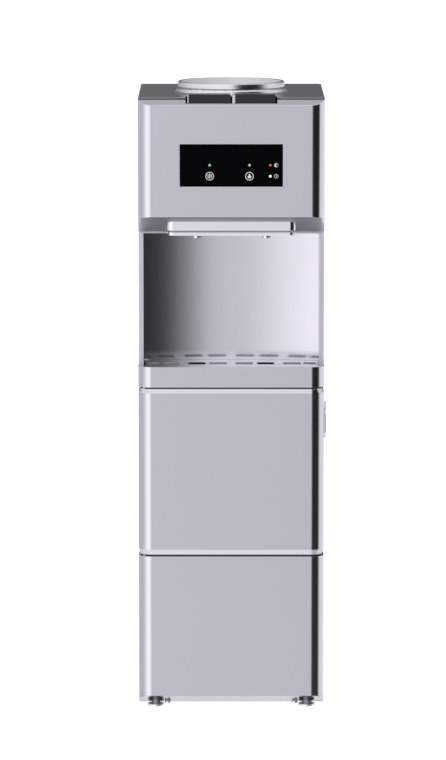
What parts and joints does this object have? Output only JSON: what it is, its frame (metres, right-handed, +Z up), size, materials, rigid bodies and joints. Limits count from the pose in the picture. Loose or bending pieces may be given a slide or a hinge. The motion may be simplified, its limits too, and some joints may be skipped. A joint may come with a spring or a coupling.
{
  "type": "water dispenser",
  "caption": "Free-standing hot and cold water dispenser with a bottle collar on top, press keys, a curved tap bay with drip tray, and a cabinet with a swing door.",
  "frame": {"origin": "on the floor under the middle of the whole", "axes": "+Z up, +X to the viewer's right, the front with the keys and the tap bay faces -Y"},
  "size_m": [0.3138, 0.3647, 1.0465],
  "materials": {
    "front_silver": "metallic silver paint, satin gloss",
    "base_silver": "metallic silver paint",
    "side_silver": "silver powder coat",
    "bay_silver": "silver, semi-gloss",
    "module_light": "light silver, gloss",
    "top_graphite": "dark grey, gloss",
    "key_black": "black, gloss",
    "collar_bright": "bright",
    "seat_grey": "light grey, satin",
    "nozzle_white": "off-white",
    "tray_silver": "silver, semi-gloss",
    "pull_silver": "silver, gloss",
    "liner_white": "white",
    "gasket_grey": "grey",
    "inner_plastic": "natural",
    "bright_steel": "zinc plated",
    "deck_steel": "galvanised",
    "tank_steel": "stainless",
    "insulation": "foam and mineral wool",
    "black_enamel": "black enamel",
    "copper": "copper",
    "rubber_black": "black",
    "foot_grey": "light grey",
    "trim_black": "black, satin",
    "rocker_green": "green, gloss",
    "rocker_red": "red, gloss",
    "board_green": "green board",
    "lamp_clear": "lamps",
    "hose_clear": "translucent"
  },
  "bodies": {
    "cabinet": {"head_fascia": "front_silver", "lower_panel": "front_silver", "tray_fascia": "front_silver", "base_pan": "base_silver", "side_panel_left": "side_silver", "side_panel_right": "side_silver", "niche_liner": "bay_silver", "nozzle_module": "module_light", "top_cover": "top_graphite", "display_window": "key_black", "bottle_collar": "collar_bright", "bottle_seat": "seat_grey", "bottle_probe": "seat_grey", "nozzles": "nozzle_white", "cabinet_liner": "liner_white", "cabinet_shelf": "liner_white", "taps": "inner_plastic", "key_carrier": "inner_plastic", "rear_screws": "bright_steel", "compressor_bolts": "bright_steel", "door_hinge_pins": "bright_steel", "cabinet_deck": "deck_steel", "hot_tank_deck": "deck_steel", "cold_tank_deck": "deck_steel", "condenser_brackets": "deck_steel", "rear_panel": "deck_steel", "cold_tank": "tank_steel", "hot_tank": "tank_steel", "evaporator_sleeve": "tank_steel", "cold_tank_jacket": "insulation", "hot_tank_jacket": "insulation", "compressor": "black_enamel", "condenser_tube": "black_enamel", "condenser_wires": "black_enamel", "filter_drier": "copper", "discharge_pipe": "copper", "suction_pipe": "copper", "compressor_grommets": "rubber_black", "cord_gland": "rubber_black", "feet": "foot_grey", "skirt_bumpers": "foot_grey", "relay_box": "trim_black", "switch_frames": "trim_black", "control_board": "board_green", "indicator_leds": "lamp_clear", "water_hoses": "hose_clear"},
    "door": {"door_outer": "front_silver", "door_inner": "liner_white", "door_gasket": "gasket_grey", "door_hinge_bushes": "inner_plastic", "door_pull": "pull_silver"},
    "cold_key": {"cold_key": "key_black", "cold_push_rod": "inner_plastic"},
    "hot_key": {"hot_key": "key_black", "hot_push_rod": "inner_plastic"},
    "tray": {"drip_tray": "tray_silver"},
    "grille": {"drip_grille": "tray_silver"},
    "cold_switch": {"cold_rocker": "rocker_green"},
    "hot_switch": {"hot_rocker": "rocker_red"},
    "drain_cap": {"drain_cap": "trim_black"}
  },
  "joints": [
    {"name": "door_swing", "type": "hinge", "parent": "cabinet", "child": "door", "pos_m": [-0.145, -0.1705, 0.403], "axis": [0, 0, -1], "range_deg": [0, 110]},
    {"name": "cold_key_press", "type": "slide", "parent": "cabinet", "child": "cold_key", "axis": [0, 0, -1], "range_m": [0, 0.005], "stiffness_N_per_m": 300, "springref_m": -0.004},
    {"name": "hot_key_press", "type": "slide", "parent": "cabinet", "child": "hot_key", "axis": [0, 0, -1], "range_m": [0, 0.005], "stiffness_N_per_m": 300, "springref_m": -0.004},
    {"name": "tray_lift", "type": "slide", "parent": "cabinet", "child": "tray", "axis": [0, 0, 1], "range_m": [0, 0.045]},
    {"name": "grille_lift", "type": "slide", "parent": "tray", "child": "grille", "axis": [0, 0, 1], "range_m": [0, 0.045]},
    {"name": "cold_switch_rock", "type": "hinge", "parent": "cabinet", "child": "cold_switch", "pos_m": [-0.04, 0.15, 0.972], "axis": [1, 0, 0], "range_deg": [-10, 10]},
    {"name": "hot_switch_rock", "type": "hinge", "parent": "cabinet", "child": "hot_switch", "pos_m": [-0.005, 0.15, 0.972], "axis": [1, 0, 0], "range_deg": [-10, 10]},
    {"name": "drain_cap_off", "type": "slide", "parent": "cabinet", "child": "drain_cap", "axis": [0, 1, 0], "range_m": [0, 0.02]}
  ]
}
